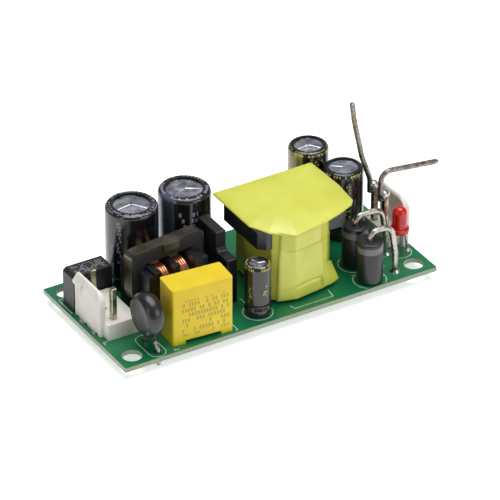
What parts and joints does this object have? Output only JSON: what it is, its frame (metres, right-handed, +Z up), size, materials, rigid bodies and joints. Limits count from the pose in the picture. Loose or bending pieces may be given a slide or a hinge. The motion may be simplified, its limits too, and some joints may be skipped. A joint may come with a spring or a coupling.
{
  "type": "open frame power supply",
  "caption": "Bare-board mains power supply: input header, line filter, tall capacitors, wrapped transformer, rectifiers and two bare output wires.",
  "frame": {"origin": "centre of the four board holes, on the underside of the board", "axes": "+X along the board from the input header to the output header, +Y across it to the edge with the tall capacitors, +Z up from the component side"},
  "size_m": [0.0784, 0.0324, 0.0346],
  "materials": {
    "board_laminate": "green solder mask",
    "solder_tin": "bright solder",
    "black_plastic": "moulded, matt",
    "white_nylon": "natural nylon, satin",
    "header_pin": "tin over brass",
    "tinned_lead": "tinned, bright",
    "black_coating": "coated, satin",
    "yellow_case": "moulded, satin",
    "ferrite": "sintered, matt",
    "copper_wire": "enamelled copper",
    "spring_steel": "rolled, dull",
    "black_sleeve": "shrunk sleeve, gloss",
    "grey_sleeve": "shrunk sleeve, gloss",
    "can_aluminium": "drawn, bright",
    "anodised_black": "anodised black",
    "yellow_tape": "polyester tape",
    "black_epoxy": "moulded epoxy",
    "bare_wire": "tinned, dull",
    "red_lens": "translucent red",
    "chip_ceramic": "fired, matt"
  },
  "bodies": {
    "root": {"pcb": "board_laminate", "solder_joints": "solder_tin", "fuse_body": "black_plastic", "fuse_leads": "tinned_lead", "input_header": "white_nylon", "input_pins": "header_pin", "thermistor": "black_coating", "thermistor_leads": "tinned_lead", "line_capacitor": "yellow_case", "line_capacitor_leads": "tinned_lead", "choke_core": "ferrite", "choke_bobbin": "black_plastic", "choke_windings": "copper_wire", "choke_clip": "spring_steel", "choke_pins": "tinned_lead", "bulk_a_sleeve": "black_sleeve", "bulk_a_can": "can_aluminium", "bulk_b_sleeve": "black_sleeve", "bulk_b_can": "can_aluminium", "bulk_leads": "tinned_lead", "sink_plate": "anodised_black", "transformer_core": "ferrite", "transformer_winding": "yellow_tape", "transformer_rails": "black_plastic", "transformer_top_tape": "yellow_tape", "transformer_front_tape": "yellow_tape", "transformer_pins": "tinned_lead", "small_cap_sleeve": "grey_sleeve", "small_cap_can": "can_aluminium", "small_cap_leads": "tinned_lead", "out_cap_back_sleeve": "black_sleeve", "out_cap_back_can": "can_aluminium", "out_cap_front_sleeve": "black_sleeve", "out_cap_front_can": "can_aluminium", "out_cap_leads": "tinned_lead", "diode_front_body": "black_epoxy", "diode_front_lead": "tinned_lead", "diode_back_body": "black_epoxy", "diode_back_lead": "tinned_lead", "output_header": "white_nylon", "output_pins": "header_pin", "solder_beads": "solder_tin", "output_wire_left": "bare_wire", "output_wire_right": "bare_wire", "led_lens": "red_lens", "led_leads": "tinned_lead", "bridge_body": "black_plastic", "bridge_legs": "tinned_lead", "controller_body": "black_plastic", "controller_legs": "tinned_lead", "chip_parts": "chip_ceramic"}
  },
  "joints": []
}
